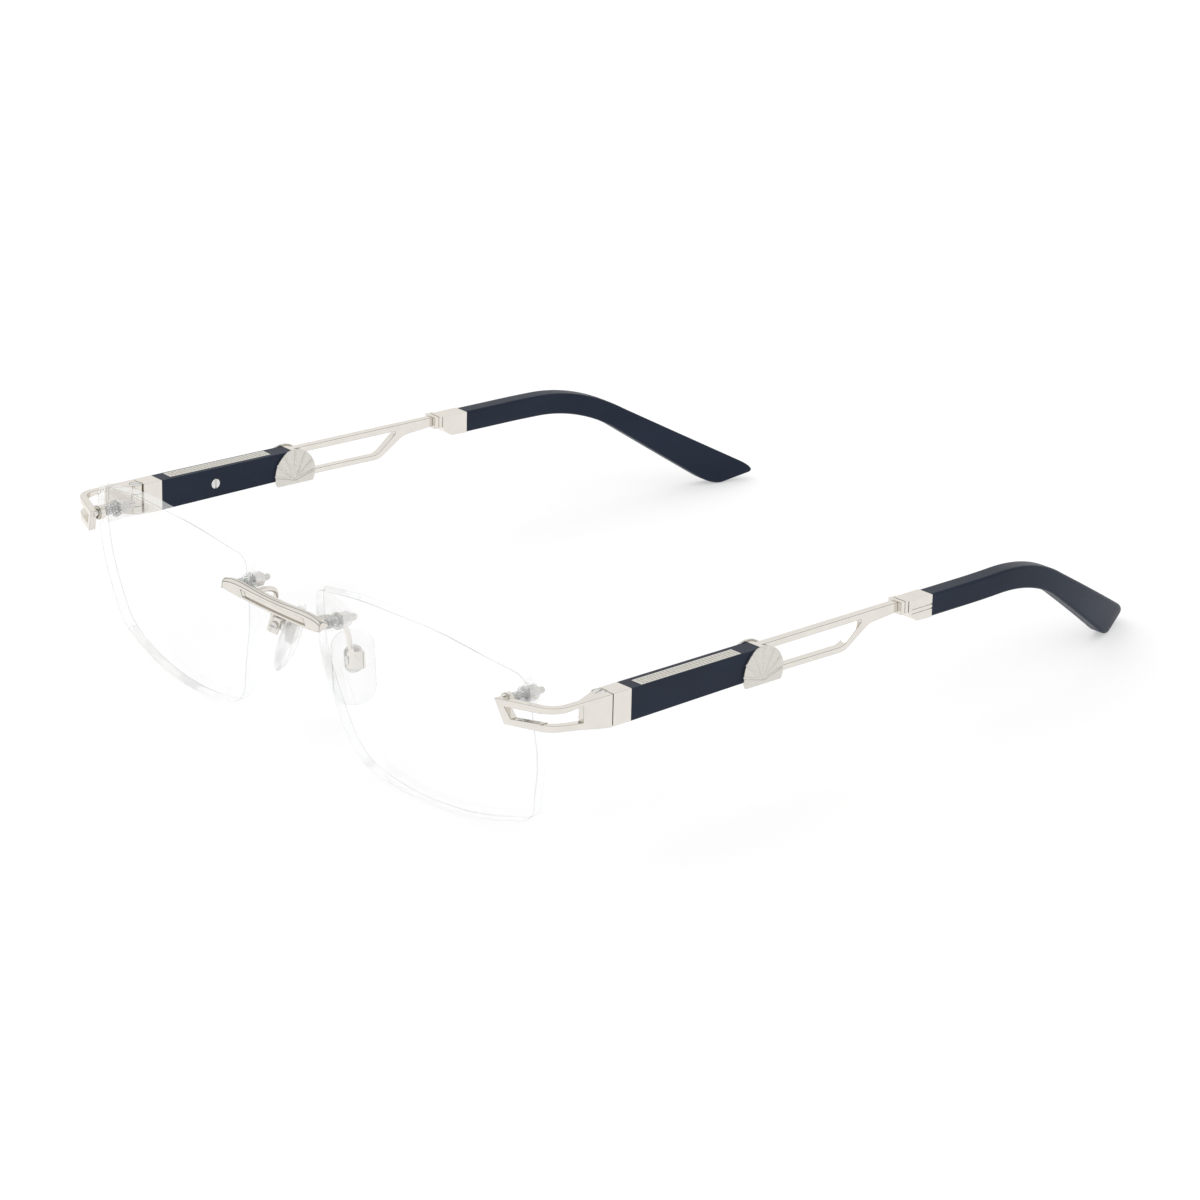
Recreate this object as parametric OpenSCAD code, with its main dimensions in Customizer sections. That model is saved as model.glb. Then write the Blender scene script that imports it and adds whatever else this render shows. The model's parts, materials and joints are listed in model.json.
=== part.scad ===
// Rimless eyeglasses: two drilled lenses, a metal bridge and endpieces, screwed nose pads,
// and two folding temples with a coloured insert, a fluted plaque, open rails and curved tips.
// Units are millimetres. The wearer looks towards -Y, +X is the wearer's left and +Z is up.
// The glasses stand open on a surface, on the lower lens edges and the ends of the tips.

/* [Lenses] */
// Width of one lens
lens_w = 54; // [52:0.5:56]
// Height of one lens
lens_h = 37; // [35:0.5:37]
// Distance between the two lenses
lens_gap = 20.2; // [19.5:0.1:21]
// Thickness of a lens
lens_t = 2.0; // [1.6:0.1:2.2]
// Radius of the front surface of a lens
lens_r = 132; // [120:1:160]
// Lean of the lenses, lower edge towards the cheeks
lens_lean = 9; // [8:0.5:10]
// Wrap of each lens round the face
lens_wrap = 4.9; // [4.5:0.1:5.5]

/* [Temples] */
// Distance from the mid plane to a hinge axis
hinge_x = 67.6; // [67.4:0.1:68]
// Inward turn of each temple from the hinge to its tip
toe_in = 1.5; // [0.5:0.1:2]
// Thickness of a temple at its insert
temple_t = 3.8; // [3.6:0.1:4]
// Length from the hinge axis to the plaque's middle
plaque_v = 35.9; // [35.5:0.1:36.5]
// Length from the hinge axis to the start of the tip
tip_v = 78.2; // [77.5:0.1:79]
// Radius of the bend over the ear, at the middle of the tip
bend_r = 36; // [34:0.5:38]

/* [Nose pads] */
// Length of a pad
pad_l = 13.5; // [12:0.5:14]
// Width of a pad
pad_w = 8; // [7:0.5:8.5]

/* [Colours] */
// Polished metal of the frame
metal = "#D9D4CB"; // [#D9D4CB:Warm silver, #D8B978:Pale gold, #8E9095:Gun metal]
// Metal of screws, nuts and plaques
bright = "#C9C6C0"; // [#C9C6C0:Silver, #CDB27C:Gold]
// Inserts and tips
navy = "#2E3643"; // [#2E3643:Dark blue, #3A2A22:Dark brown, #202020:Black]
// Lenses
lens_tint = "#E8F1F480"; // [#E8F1F480:Clear, #8A8F9490:Light grey]
// Nose pads and bushes
soft_clear = "#F1F4F2A0"; // [#F1F4F2A0:Clear, #F3E7D0C0:Warm white]

/* [Hidden] */
$fn = 48;
gap = 0.05;            // running clearance of pins, ears and bushes
sink = 0.02;           // overlap of two faces that are joined
big = 40;              // longer than any cut needs

// Standing attitude: the level design is turned about X, then centred along Y.
pitch = 1.56;          // the temples fall this much from hinge to tip
front_reach = -4.75;   // foremost point of the bridge, level frame
front_reach_z = 29;
end_top = [145.7, 6.6];     // upper corner of the tip's end: distance from the axis, height
end_bottom = [136.7, 3.7];  // lower corner of the tip's end
tip_close = 0.75;      // the tip's last ring is this much of its full size
hinge_y = 14;
tip_reach = (end_top + end_bottom) / 2 + tip_close * (end_top - end_bottom) / 2;
rear_y = (hinge_y + tip_reach[0] * cos(toe_in)) * cos(pitch) + tip_reach[1] * sin(pitch);
front_y = front_reach * cos(pitch) + front_reach_z * sin(pitch);
centre_y = (rear_y + front_y) / 2;

// Heights in the level frame
top_z = 28.5;          // top of endpieces and temples
seam_z = 22.5;         // underside of the hinge
post_z = 27.8;         // axis of the four lens posts
nasal_post_x = 12.8;
temple_post_x = 59.9;

// Places of a lens
lens_x = lens_gap / 2 + lens_w / 2;
lens_y = -1.2;
lens_z = 17.8;

// Lens outline: corner places as fractions of width and height, and corner radii
lens_corners = [
    [0.000, 0.920, 2.5], [0.002, 0.589, 25], [0.126, 0.065, 9], [0.387, 0.003, 60],
    [0.665, 0.020, 60], [0.943, 0.116, 5], [1.004, 0.454, 25], [0.991, 0.880, 4.5],
    [0.628, 1.000, 60], [0.257, 0.995, 60]
];

// Bridge
bridge_half = 14.3;
bridge_steps = 16;
recess_depth = 0.32;   // of the panel in the middle of the bridge's front
recess_end = 0.42;     // where the panel ends, as a share of (x / bridge_half) squared

// Lens fixing hardware
post_r = 0.65;
bush_r = 1.0;
flange_r = 1.6;
nasal_back_y = 0.35;   // where the bush flange starts behind the lens, nasal side
temple_back_y = 3.85;  // the same on the temple side
flange_t = 0.5;
washer_t = 0.3;
nut_l = 1.9;
post_over = 1.6;       // post standing out of its nut
washer_r = 1.45;
nut_r = 1.35;
spacer_r = 1.3;
spacer_y = [-0.05, 1.15];
bush_l = 2.1;          // length of a bush inside its lens
// Each fixing runs along Y: [place in X, post start, flange start]
fixings = [[nasal_post_x, -3.2, nasal_back_y], [temple_post_x, -0.9, temple_back_y]];

// Endpiece: outer wall path in plan
wall_t = 1.3;
wall_x = 70.1;
corner_r = 4.5;
corner_c = [65.6, 5.52];
arm_angle = 21.9;      // slope of the front arm in plan
arm_l = 10.4;
block_y0 = 8.6;        // start of the hinge block
seam_y = 15;           // where the hinge block ends

block_overlap = 0.5;   // the hinge block starts this far inside the outer wall
window_end_x = 67.5;   // the window's front part ends here and its side part starts
// Underside seen from the side [y, z], rising towards the front
underside = [[-9, 20], [15.1, 20], [15.1, 22.5], [12, 22.95], [8, 23.75], [4.7, 24.25], [-9, 24.1]];
// What the slanted nasal end leaves out, seen from the front [x, z]
nasal_cut = [[50, 20], [61.3, 20], [61.1, 24], [59.2, 28.6], [50, 28.6]];
// Window between the two bars: front part [x, z] and side part [y, z]
front_window = [[61.0, 27.3], [62.2, 25.3], [window_end_x, 25.5], [window_end_x, 27.4]];
side_window = [[-2, 25.5], [4.7, 25.3], [block_y0, 24.85], [block_y0, 27.85], [4.7, 27.55], [-2, 27.4]];

// Hinge
knuckle_r = 1.35;
relief_r = 1.43;
screw_r = 0.55;
bore_r = 0.60;
head_r = 1.12;
head_t = 0.32;
tongue_z = [24.4, 26.8];
tongue_half = 0.85;    // half the width of the tongue behind the knuckle
hinge_slot = 0.34;     // width of the slot in the hinge screw's head
hinge_slot_turn = 18;  // direction of that slot

// Temple cross sections, u is outwards from the hinge axis
outer_u = 2.53;
inner_u = outer_u - temple_t;
mid_u = (outer_u + inner_u) / 2;
cap_v = [1.1, 5.2];
side_low = seam_z + 0.1; // underside of the hinge cap and of the insert's front
insert_v = [5.25, 35.5];
insert_drop = 0.45;    // the insert's underside rises this much to its rear
spine_t = 1.3;
spine_z = [24.1, 26.9];
rail_t = 1.5;
inlay_w = 2.6;
inlay_t = 0.5;
inlay_v = [7.7, 31.0];
inlay_u = 0.95;        // middle of the inlay, nearer the outer face
plaque_t = 0.45;
plaque_z = 21.9;
plaque_r = 4.7;        // radius of the plaque's arch
plaque_h = 6.9;
flute_r = 0.3;
ferrule_v = 70.0;      // start of the collar rings
tip_t = 3.5;
insert_screw_v = 17.5;
mid_z = 25.4;          // mid height of the insert
insert_head_r = 0.95;
insert_shank_r = 0.5;
groove_step = 0.75;    // pitch of the inlay's cross grooves
groove_w = 0.3;
groove_margin = 0.35;  // plain metal on each side of the grooves

// Side outlines of the rails: [v, z, corner radius]
rail_outline = [
    [36, 22.5, 0.1], [57.3, 22.35, 4], [63.2, 26.2, 4], [70.3, 26.75, 0.1],
    [70.3, 28.5, 0.1], [36, 28.5, 0.1]
];
rail_window = [
    [37, 23.45, 0.1], [56.9, 23.3, 3], [61.2, 26.8, 0.2], [61.2, 27.4, 0.2], [37, 27.4, 0.1]
];

// Tips
bend_v = 96.5;         // where the bend over the ear starts
bend_angle = 31.3;
tip_top = top_z;
tip_low = 24.2;
bend_c = [bend_v, (tip_top + tip_low) / 2 - bend_r];
straight_share = 0.28; // share of the tip's rings before the bend
bend_share = 0.34;     // share of the rings round the bend
curve_v = 88;          // where the tip starts to turn in towards the head
curve_k = 0.00375;
tip_rings = 44;
core_rings = 24;
ring_pts = 20;
ring_power = 0.45;     // how square a ring's corners are: 1 is an ellipse

// Nose pad place and attitude (left side)
pad_c = [9.4, 6.9, 16.6];
pad_splay = 27;        // rear edges further apart
pad_frontal = 16;      // lower edges further apart
pad_t = 2.4;
pad_face_r = 24;       // radius of the pad's two faces
pad_pivot_x = 3.0;     // pad screw behind the pad's middle plane
pad_up = 1.6;          // pad screw above the pad's middle
pad_box = [2.4, 3.0, 3.0];
box_wall = 0.45;
pad_screw_r = 0.4;
lug_r = 0.75;
arm_r = 0.5;
pad_head_r = 0.8;      // head of the pad screw
core_t = 0.5;
// Outline of the plate inside the pad [y, z, corner radius]
core_outline = [[-1.7, -0.9, 1.5], [1.7, -0.9, 1.5], [1.7, 4.1, 1.5], [-1.7, 4.1, 1.5]];
// Wire route of the left pad arm, from the bridge to the box
arm_route = [
    [9.0, -2.6, 27.3], [9.0, 1.2, 27.3], [9.5, 3.6, 26.3], [10.5, 4.6, 24.2], [11.4, 4.6, 21.6],
    [11.7, 4.9, 20.0]
];

// ---------------------------------------------------------------- helpers

// Points of a closed outline whose corners [x, y, r] are rounded by arcs
function unit(a) = a / norm(a);
function corner_arc(p, q, s) =
    let (
        a = unit([p[0] - q[0], p[1] - q[1]]),
        b = unit([s[0] - q[0], s[1] - q[1]]),
        half = acos(a * b) / 2,
        c = [q[0], q[1]] + unit(a + b) * q[2] / sin(half),
        from = [q[0], q[1]] + a * q[2] / tan(half) - c,
        to = [q[0], q[1]] + b * q[2] / tan(half) - c,
        start = atan2(from[1], from[0]),
        turn = atan2(from[0] * to[1] - from[1] * to[0], from * to),
        steps = max(3, round(abs(turn) / 7))
    )
    [for (i = [0:steps]) c + q[2] * [cos(start + turn * i / steps), sin(start + turn * i / steps)]];
function rounded(pts) = [
    for (i = [0:len(pts) - 1])
        each corner_arc(pts[(i + len(pts) - 1) % len(pts)], pts[i], pts[(i + 1) % len(pts)])
];

// Faces of a closed sweep of n rings of m points
function sweep_faces(n, m) = concat(
    [for (i = [0:n - 2], j = [0:m - 1])
        [i * m + j, i * m + (j + 1) % m, (i + 1) * m + (j + 1) % m, (i + 1) * m + j]],
    [[for (j = [m - 1:-1:0]) j]],
    [[for (j = [0:m - 1]) (n - 1) * m + j]]
);

// The whole design stands on the lens edges and tips
module stand() translate([0, -centre_y, 0]) rotate([-pitch, 0, 0]) children();

// The right side mirrors the left side
module side(right) stand() mirror([right ? 1 : 0, 0, 0]) children();

// The temple's own frame: x outwards from the hinge axis, y along the temple
module temple(right) side(right) translate([hinge_x, hinge_y, 0]) rotate([0, 0, toe_in]) children();

// A cylinder along Y from y0 to y1
module rod_y(r, y0, y1, fn = 48)
    translate([0, y0, 0]) rotate([-90, 0, 0]) cylinder(r = r, h = y1 - y0, $fn = fn);

// A plate whose outline is drawn in Y and Z, from x0 to x1
module plate_x(x0, x1) translate([x0, 0, 0]) rotate([90, 0, 90]) linear_extrude(x1 - x0) children();

// A plate whose outline is drawn in X and Z, from y0 to y1
module plate_y(y0, y1) translate([0, y1, 0]) rotate([90, 0, 0]) linear_extrude(y1 - y0) children();

// ---------------------------------------------------------------- lenses

module lens_outline() polygon(rounded([
    for (c = lens_corners) [(c[0] - 0.5) * lens_w, (c[1] - 0.5) * lens_h, c[2]]
]));

module lens_shell() translate([0, lens_r, 0]) difference() {
    sphere(r = lens_r, $fn = 240);
    sphere(r = lens_r - lens_t, $fn = 240);
}

module lens(right) color(lens_tint) side(right) difference() {
    translate([lens_x, lens_y, lens_z]) rotate([0, 0, lens_wrap]) rotate([lens_lean, 0, 0]) intersection() {
        plate_y(-1, 9) lens_outline();
        lens_shell();
    }
    for (x = [nasal_post_x, temple_post_x]) translate([x, 0, post_z]) rod_y(bush_r, -8, 12);
}

module left_lens() lens(false);
module right_lens() lens(true);

// ---------------------------------------------------------------- bridge

// One ring of the bridge at x, drawn in Y and Z
function bridge_ring(x) =
    let (
        q = pow(x / bridge_half, 2),
        top = 29.05 + 0.4 * q - 0.85 * pow(q, 3),
        low = 25.4 + 1.5 * q + 0.3 * q * q,
        front_top = -4.7 + 0.6 * q - 0.35 * pow(q, 3),
        front_low = -2.7 - 1.9 * q,
        ridge = 0.35 + 0.9 * q * (1 - q),
        back = -2.55,
        cut = q < recess_end ? recess_depth : 0,
        rise = top - low
    )
    [
        [x, front_top, top - 0.15], [x, front_top + 0.35, top + ridge - 0.1],
        [x, front_top + 0.8, top + ridge], [x, back, top - 0.1], [x, back, low + 0.45 * rise],
        [x, front_low + 1.1 - 0.5 * q, low + 0.25], [x, front_low + 0.4, low],
        [x, front_low, low + 0.15],
        [x, front_low + 0.25 * (front_top - front_low) + cut, low + 0.25 * rise],
        [x, front_low + 0.70 * (front_top - front_low) + cut, low + 0.70 * rise]
    ];
bridge_x = [for (i = [-bridge_steps:bridge_steps]) bridge_half * i / bridge_steps];

module bridge() color(metal) stand()
    polyhedron([for (x = bridge_x) each bridge_ring(x)], sweep_faces(len(bridge_x), 10));

// ---------------------------------------------------------------- lens fixings

module each_fixing() for (right = [false, true], f = fixings)
    side(right) translate([f[0], 0, post_z]) {
        $start = f[1];
        $back = f[2];
        children();
    }

function nut_y(back) = back + flange_t + washer_t + 2 * gap;

module lens_posts() color(bright) each_fixing() rod_y(post_r, $start, nut_y($back) + nut_l + post_over);

module lens_spacers() color(metal) for (right = [false, true])
    side(right) translate([temple_post_x, 0, post_z]) difference() {
        rod_y(spacer_r, spacer_y[0], spacer_y[1]);
        rod_y(post_r + gap, spacer_y[0] - 1, spacer_y[1] + 1);
    }

module lens_bushes() color(soft_clear) each_fixing() difference() {
    union() {
        rod_y(bush_r - gap, $back - bush_l, $back + flange_t);
        rod_y(flange_r, $back, $back + flange_t);
    }
    rod_y(post_r + gap, $back - bush_l - 1, $back + flange_t + 1);
}

module lens_washers() color(bright) each_fixing() difference() {
    rod_y(washer_r, $back + flange_t + gap, $back + flange_t + washer_t + gap);
    rod_y(post_r + gap, $back, $back + 2);
}

module lens_nuts() color(bright) each_fixing() difference() {
    rod_y(nut_r, nut_y($back), nut_y($back) + nut_l, 6);
    rod_y(post_r + gap, $back, $back + 4);
}

// ---------------------------------------------------------------- endpieces and hinges

// Wall of the endpiece in plan: front arm, round corner and side
module endpiece_plan() {
    translate(corner_c) rotate(arm_angle - 90) translate([corner_r - wall_t, -arm_l])
        square([wall_t, arm_l + sink]);
    translate(corner_c) intersection() {
        difference() {
            circle(r = corner_r);
            circle(r = corner_r - wall_t);
        }
        polygon([[0, 0], 9 * [cos(arm_angle - 90), sin(arm_angle - 90)], [9, -9], [9, 0]]);
    }
    translate([wall_x - wall_t, corner_c[1] - sink]) square([wall_t, seam_y - corner_c[1] + sink]);
    polygon([
        [wall_x - block_overlap, block_y0], [wall_x - block_overlap, seam_y], [hinge_x, seam_y],
        [hinge_x - knuckle_r * cos(60), hinge_y - knuckle_r * sin(60)], [wall_x - wall_t, block_y0]
    ]);
    translate([hinge_x, hinge_y]) circle(r = knuckle_r);
}

module endpiece(right) color(metal) side(right) difference() {
    translate([0, 0, seam_z]) linear_extrude(top_z - seam_z) endpiece_plan();
    plate_x(0, wall_x + 1) polygon(underside);
    plate_y(-9, 4) polygon(nasal_cut);
    plate_y(-9, 6) polygon(front_window);
    plate_x(window_end_x - sink, wall_x + 1) polygon(side_window);
    // room for the temple's knuckle, its screw and the screw's head
    translate([hinge_x, hinge_y, tongue_z[0] - gap])
        cylinder(r = relief_r, h = tongue_z[1] - tongue_z[0] + 2 * gap);
    translate([hinge_x, hinge_y, seam_z - 1]) cylinder(r = bore_r, h = 9);
    translate([hinge_x, hinge_y, top_z - head_t - gap]) cylinder(r = head_r + gap, h = 2);
}

module left_endpiece() endpiece(false);
module right_endpiece() endpiece(true);

module hinge_screw(right) color(bright) side(right) translate([hinge_x, hinge_y, 0]) difference() {
    union() {
        translate([0, 0, seam_z + 0.1]) cylinder(r = screw_r, h = top_z - seam_z - 0.3);
        translate([0, 0, top_z - head_t - gap / 2]) cylinder(r = head_r, h = head_t);
    }
    rotate(hinge_slot_turn) translate([-hinge_slot / 2, -2, top_z - 0.2]) cube([hinge_slot, 4, 1]);
}

module left_hinge_screw() hinge_screw(false);
module right_hinge_screw() hinge_screw(true);

// ---------------------------------------------------------------- nose pads

module pad_place(right) side(right)
    translate(pad_c) rotate([0, 0, -pad_splay]) rotate([0, -pad_frontal, 0]) children();

// The pad's own frame has its contact face towards -X and the box on the +X side
module pad_pivot() translate([pad_pivot_x, 0, pad_up]) children();

module wire(route, r) for (i = [0:len(route) - 2]) {
    span = route[i + 1] - route[i];
    translate(route[i]) rotate([0, acos(span[2] / norm(span)), atan2(span[1], span[0])])
        cylinder(r = r, h = norm(span), $fn = 24);
    if (i > 0) translate(route[i]) sphere(r = r, $fn = 24);
}

module pad_arm(right) color(metal) union() {
    side(right) wire(arm_route, arm_r);
    pad_place(right) pad_pivot() difference() {
        translate([-1, -pad_box[1] / 2, -pad_box[2] / 2]) cube(pad_box);
        translate([pad_box[0] - 1 - box_wall - big, box_wall - pad_box[1] / 2, -big / 2])
            cube([big, pad_box[1] - 2 * box_wall, big]);
        rod_y(pad_screw_r + gap, -4, 4, 24);
    }
}

module left_pad_arm() pad_arm(false);
module right_pad_arm() pad_arm(true);

module pad_screw(right) color(bright) pad_place(right) pad_pivot() difference() {
    union() {
        rod_y(pad_screw_r, -pad_box[1] / 2 - 0.2, pad_box[1] / 2, 24);
        rod_y(pad_head_r, -pad_box[1] / 2 - 0.45, -pad_box[1] / 2 - gap, 24);
    }
    translate([-1, -pad_box[1] / 2 - 0.6, -0.12]) cube([2, 0.35, 0.24]);
}

module left_pad_screw() pad_screw(false);
module right_pad_screw() pad_screw(true);

// Plate inside the pad with the lug that the screw passes through
module pad_core(right) color(bright) pad_place(right) difference() {
    union() {
        plate_x(-0.1, core_t - 0.1) polygon(rounded(core_outline));
        pad_pivot() rod_y(lug_r, -0.9, 0.9, 24);
        translate([0.3, -0.9, pad_up - 0.6]) cube([pad_pivot_x - 0.5, 1.8, 1.2]);
    }
    pad_pivot() rod_y(pad_screw_r + gap, -3, 3, 24);
}

module left_pad_core() pad_core(false);
module right_pad_core() pad_core(true);

module nose_pad(right) color(soft_clear) pad_place(right) intersection() {
    plate_x(-pad_t, pad_t) polygon(rounded([
        [-0.5 * pad_w, -0.5 * pad_l, 0.46 * pad_w], [0.5 * pad_w, -0.5 * pad_l, 0.46 * pad_w],
        [0.5 * pad_w, 0.5 * pad_l, 0.40 * pad_w], [-0.5 * pad_w, 0.5 * pad_l, 0.40 * pad_w]
    ]));
    translate([pad_face_r - pad_t / 2, 0, 0]) sphere(r = pad_face_r, $fn = 120);
    translate([pad_t / 2 - pad_face_r, 0, 0]) sphere(r = pad_face_r, $fn = 120);
}

module left_nose_pad() nose_pad(false);
module right_nose_pad() nose_pad(true);

// ---------------------------------------------------------------- temples

module hinge_cap(right) color(metal) temple(right) difference() {
    union() {
        translate([inner_u, cap_v[0], side_low]) cube([temple_t, cap_v[1] - cap_v[0], top_z - side_low]);
        translate([0, 0, tongue_z[0]]) cylinder(r = knuckle_r, h = tongue_z[1] - tongue_z[0]);
        translate([-tongue_half, 0, tongue_z[0]]) cube([2 * tongue_half, 2, tongue_z[1] - tongue_z[0]]);
    }
    // hollows that clear the endpiece's two ears
    translate([0, 0, tongue_z[1]]) cylinder(r = relief_r, h = 9);
    translate([0, 0, tongue_z[0] - 9]) cylinder(r = relief_r, h = 9);
    translate([0, 0, 20]) cylinder(r = bore_r, h = 9);
}

module left_hinge_cap() hinge_cap(false);
module right_hinge_cap() hinge_cap(true);

module plaque_outline(shrink = 0) translate([plaque_v, plaque_z]) intersection() {
    translate([0, plaque_h - plaque_r]) circle(r = plaque_r - shrink, $fn = 72);
    translate([-plaque_r, shrink]) square(2 * plaque_r);
}

module temple_bar(right) color(metal) temple(right) union() {
    // spine inside the insert
    translate([mid_u - spine_t / 2, cap_v[1] + sink, spine_z[0]])
        cube([spine_t, insert_v[1] - cap_v[1] + 0.5, spine_z[1] - spine_z[0]]);
    // bed between the two plaques
    plate_x(inner_u, outer_u) intersection() {
        plaque_outline(0.25);
        translate([insert_v[1] + gap, 0]) square([20, 40]);
    }
    // open rails
    plate_x(mid_u - rail_t / 2, mid_u + rail_t / 2) difference() {
        polygon(rounded(rail_outline));
        polygon(rounded(rail_window));
    }
}

module left_temple_bar() temple_bar(false);
module right_temple_bar() temple_bar(true);

module insert(right) color(navy) temple(right) difference() {
    plate_x(inner_u, outer_u) polygon([
        [insert_v[0], side_low], [insert_v[1], side_low + insert_drop],
        [insert_v[1], top_z], [insert_v[0], top_z]
    ]);
    translate([mid_u - spine_t / 2 - gap, 0, spine_z[0] - gap])
        cube([spine_t + 2 * gap, big, spine_z[1] - spine_z[0] + 2 * gap]);
    translate([inlay_u - inlay_w / 2 - gap, inlay_v[0] - gap, top_z - inlay_t - gap])
        cube([inlay_w + 2 * gap, inlay_v[1] - inlay_v[0] + 2 * gap, 3]);
    insert_screw_place() {
        cylinder(r = insert_shank_r + gap, h = 3);
        translate([0, 0, -1]) cylinder(r = insert_head_r + gap, h = 1.4);
    }
}

module left_insert() insert(false);
module right_insert() insert(true);

// The screw enters from the temple's inner face
module insert_screw_place() translate([inner_u, insert_screw_v, mid_z]) rotate([0, 90, 0]) children();

module insert_screw(right) color(bright) temple(right) insert_screw_place() difference() {
    union() {
        cylinder(r = insert_head_r, h = 0.38);
        cylinder(r = insert_shank_r, h = 1.15);
    }
    translate([-2, -0.15, -0.1]) cube([4, 0.3, 0.28]);
}

module left_insert_screw() insert_screw(false);
module right_insert_screw() insert_screw(true);

// Metal strip in the top of the insert, with cross grooves
module inlay(right) color(bright) temple(right) difference() {
    translate([inlay_u - inlay_w / 2, inlay_v[0], top_z - inlay_t])
        cube([inlay_w, inlay_v[1] - inlay_v[0], inlay_t]);
    for (v = [inlay_v[0] + groove_step:groove_step:inlay_v[1] - groove_step])
        translate([inlay_u - inlay_w / 2 + groove_margin, v, top_z - 0.12])
            cube([inlay_w - 2 * groove_margin, groove_w, 1]);
}

module left_inlay() inlay(false);
module right_inlay() inlay(true);

// Arched plaque with flutes that fan out from the middle of its lower edge
module plaque(face_u, out) difference() {
    plate_x(min(face_u, face_u + out * plaque_t), max(face_u, face_u + out * plaque_t)) plaque_outline();
    translate([face_u + out * (plaque_t + 0.12), plaque_v, plaque_z + 0.9])
        for (a = [-75:25:75]) rotate([a, 0, 0]) cylinder(r = flute_r, h = 9, $fn = 24);
}

module outer_plaque(right) color(bright) temple(right) plaque(outer_u + 0.01, 1);
module inner_plaque(right) color(bright) temple(right) plaque(inner_u - 0.01, -1);
module left_outer_plaque() outer_plaque(false);
module right_outer_plaque() outer_plaque(true);
module left_inner_plaque() inner_plaque(false);
module right_inner_plaque() inner_plaque(true);

// Two collar rings and the sleeve that holds the tip
module ferrule(right) color(metal) temple(right) difference() {
    union() {
        for (v = [ferrule_v + 0.35, ferrule_v + 1.35])
            translate([mid_u - 1.65, v, 26.3]) cube([3.3, 0.75, 2.4]);
        translate([mid_u - 1.5, ferrule_v + 0.32, 26.5]) cube([3, 2, 2]);
        plate_x(mid_u - tip_t / 2, mid_u + tip_t / 2) polygon(rounded([
            [72.2, 28.5, 0.1], [72.2, 26.2, 0.1], [74.2, 24.35, 1.5], [tip_v - 0.02, 24.2, 0.1],
            [tip_v - 0.02, 28.5, 0.1]
        ]));
    }
    for (z = [25.8, 26.6]) translate([mid_u + tip_t / 2 - 0.15, 73, z]) cube([1, 8, 0.22]);
}

module left_ferrule() ferrule(false);
module right_ferrule() ferrule(true);

// ---------------------------------------------------------------- tips

// A side edge of the tip at fraction s: straight, bend, then straight to its end corner
function edge_at(s, r, z, corner) =
    let (
        bend_end = bend_c + r * [sin(bend_angle), cos(bend_angle)],
        a = s / straight_share,
        b = (s - straight_share) / bend_share,
        c = (s - straight_share - bend_share) / (1 - straight_share - bend_share)
    )
    a < 1 ? [tip_v + a * (bend_v - tip_v), z]
    : b < 1 ? bend_c + r * [sin(b * bend_angle), cos(b * bend_angle)]
    : bend_end + c * (corner - bend_end);

// Inward curve of the tip's middle
function curve_u(v) = mid_u - curve_k * pow(max(0, v - curve_v), 2);

// Height of the standing surface in the level frame
function floor_z(v) = (hinge_y + v * cos(toe_in)) * tan(pitch);

// One ring of the tip: a rounded rectangle between its lower and upper edge
function tip_ring(s, half_t, margin, closing) =
    let (
        hi = edge_at(s, bend_r + (tip_top - tip_low) / 2 - margin, tip_top - margin, end_top),
        lo = edge_at(s, bend_r - (tip_top - tip_low) / 2 + margin, tip_low + margin, end_bottom),
        c = (hi + lo) / 2,
        h = (hi - lo) / 2 * closing
    )
    [for (j = [0:ring_pts - 1])
        let (
            a = 360 * (j + 0.5) / ring_pts,
            along = sign(cos(a)) * pow(abs(cos(a)), ring_power),
            across = sign(sin(a)) * pow(abs(sin(a)), ring_power),
            v = c[0] + h[0] * across,
            z = c[1] + h[1] * across
        )
        [curve_u(v) + half_t * closing * along, v, max(z, floor_z(v))]
    ];

module tip(right) color(navy) temple(right)
    polyhedron(
        [for (i = [0:tip_rings])
            let (left = tip_rings - i)
            each tip_ring(i / tip_rings, tip_t / 2, 0, left > 1 ? 1 : left == 1 ? 0.93 : tip_close)],
        sweep_faces(tip_rings + 1, ring_pts)
    );

module left_tip() tip(false);
module right_tip() tip(true);

// Flat wire that stiffens the tip
module tip_core(right) color(bright) temple(right)
    polyhedron(
        [for (i = [0:core_rings]) each tip_ring(i / tip_rings, 0.6, 1.3, 1)],
        sweep_faces(core_rings + 1, ring_pts)
    );

module left_tip_core() tip_core(false);
module right_tip_core() tip_core(true);

// ---------------------------------------------------------------- the assembly

left_lens();
right_lens();
bridge();
lens_posts();
lens_spacers();
lens_bushes();
lens_washers();
lens_nuts();
left_endpiece();
right_endpiece();
left_hinge_screw();
right_hinge_screw();
left_pad_arm();
right_pad_arm();
left_pad_screw();
right_pad_screw();
left_pad_core();
right_pad_core();
left_nose_pad();
right_nose_pad();
left_hinge_cap();
right_hinge_cap();
left_temple_bar();
right_temple_bar();
left_insert();
right_insert();
left_inlay();
right_inlay();
left_insert_screw();
right_insert_screw();
left_outer_plaque();
right_outer_plaque();
left_inner_plaque();
right_inner_plaque();
left_ferrule();
right_ferrule();
left_tip_core();
right_tip_core();
left_tip();
right_tip();
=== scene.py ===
# Looks of the rimless eyeglasses: smooth lenses, bridge, tips and pads, rounded metal edges,
# threaded posts, and procedural materials. Local design values are in millimetres.
import json
import math

import bmesh
import bpy
from mathutils import Matrix, Vector


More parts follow.
